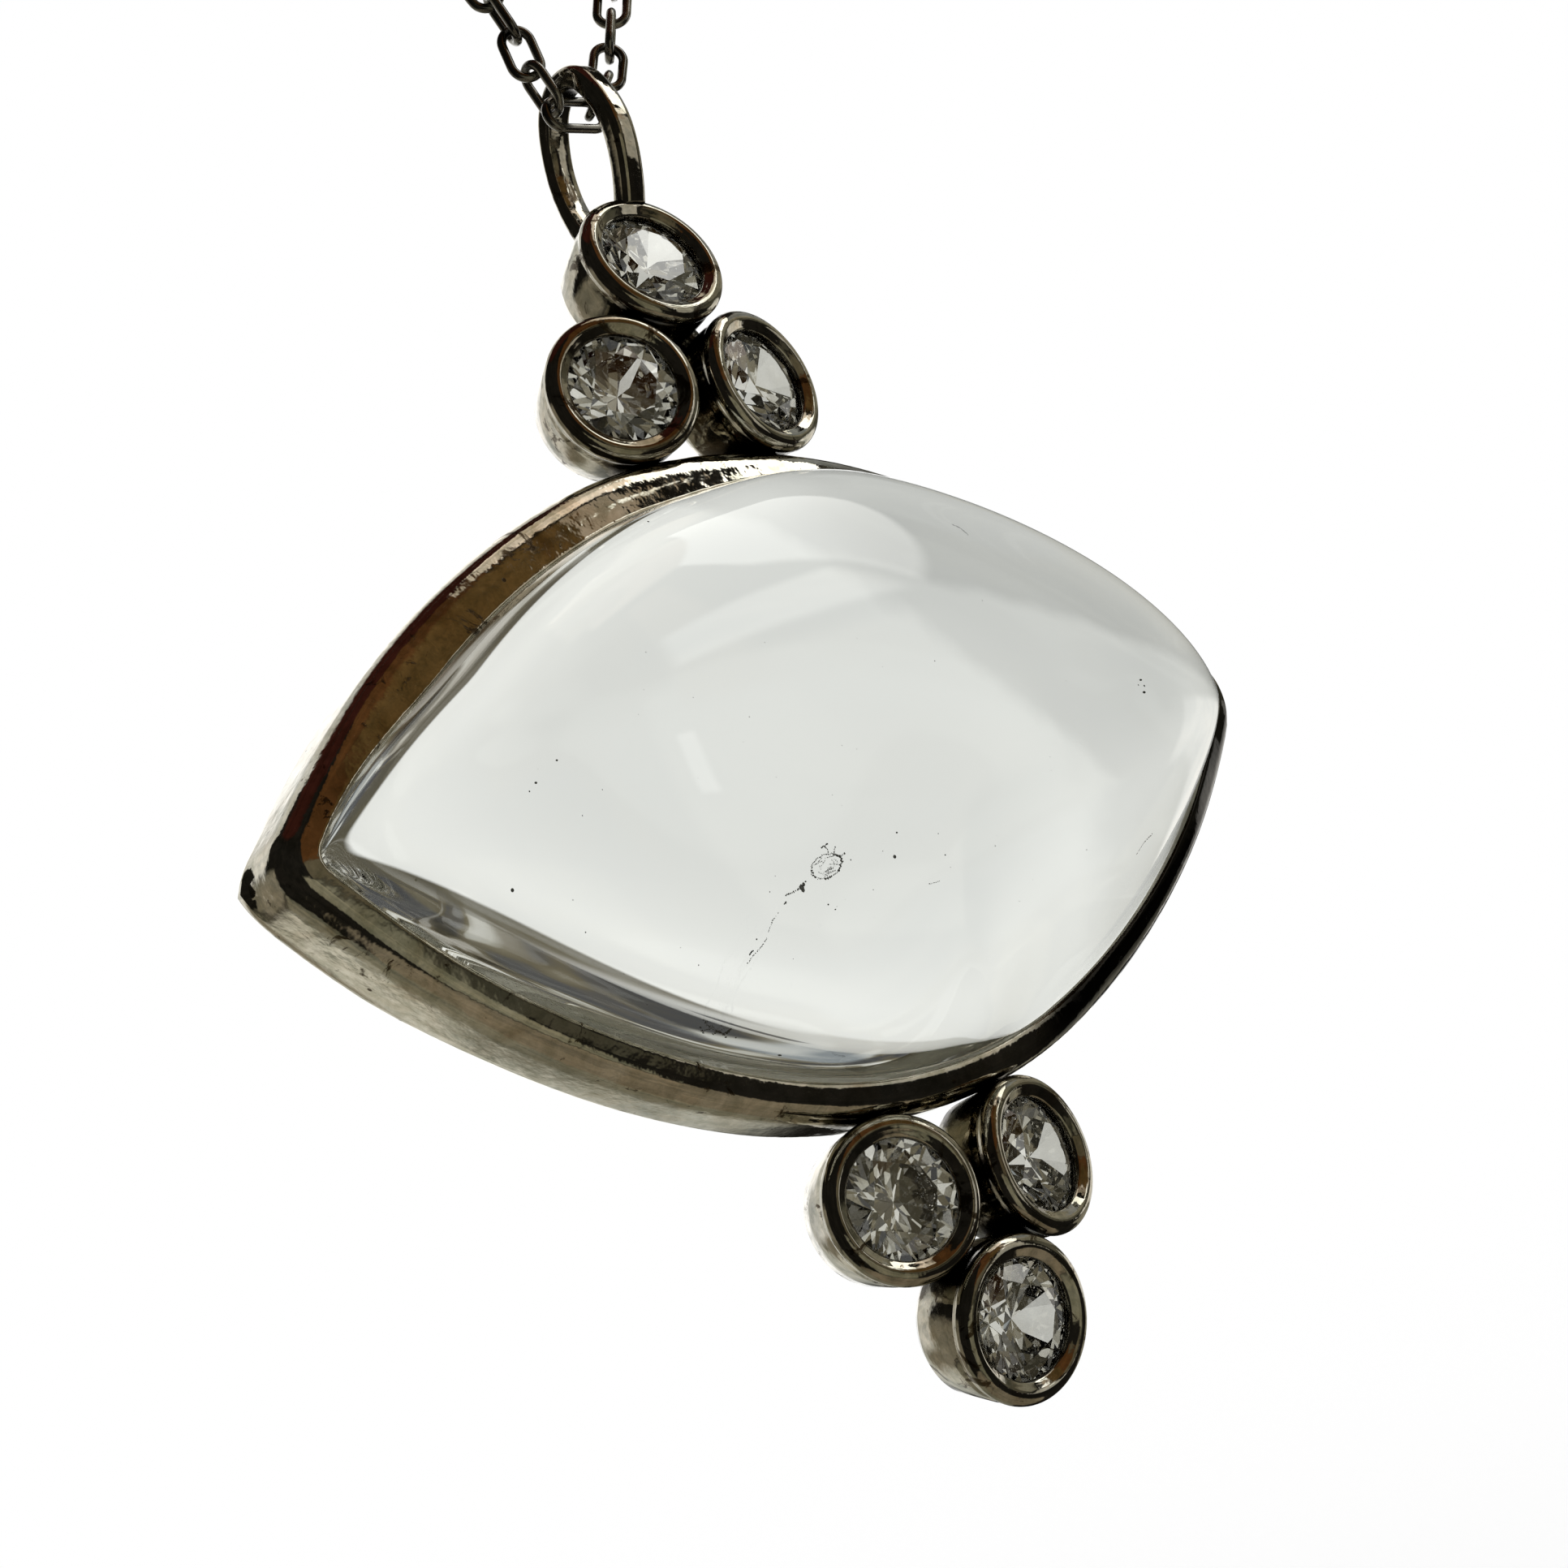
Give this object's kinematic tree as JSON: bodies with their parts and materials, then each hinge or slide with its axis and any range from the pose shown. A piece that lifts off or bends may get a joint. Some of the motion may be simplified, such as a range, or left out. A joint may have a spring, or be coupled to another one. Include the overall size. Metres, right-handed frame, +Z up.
{
  "type": "pendant necklace",
  "caption": "Pendant necklace: clear boat-shaped quartz in an open-backed metal setting with clusters of small faceted stones, an oval bail and a fine cable chain.",
  "frame": {"origin": "underside of the clasp's barrel, where the necklace hangs at the back of the neck", "axes": "+Z up, the pendant faces -Y, the loop of the chain lies in the plane Y = 0"},
  "size_m": [0.1042, 0.0069, 0.2212],
  "materials": {
    "polished_silver": "polished silver with a warm, worn tarnish",
    "quartz": "polished clear quartz",
    "gem": "polished facets",
    "dark_silver": "darkened, polished"
  },
  "bodies": {
    "chain": {"link_carrier": "dark_silver", "link_left_1": "dark_silver", "link_left_2": "dark_silver", "link_left_3": "dark_silver", "link_left_4": "dark_silver", "link_right_1": "dark_silver", "link_right_2": "dark_silver", "link_right_3": "dark_silver", "link_right_4": "dark_silver", "chain_left": "dark_silver", "chain_right": "dark_silver", "clasp": "dark_silver"},
    "pendant": {"setting": "polished_silver", "quartz": "quartz", "gem_upper_left": "gem", "gem_upper_right": "gem", "gem_top": "gem", "gem_lower_left": "gem", "gem_lower_right": "gem", "gem_bottom": "gem"}
  },
  "joints": [
    {"name": "pendant_swing", "type": "hinge", "parent": "chain", "child": "pendant", "pos_m": [0, 0, -0.17652], "axis": [1, 0, 0], "range_deg": [-60, 60]}
  ]
}
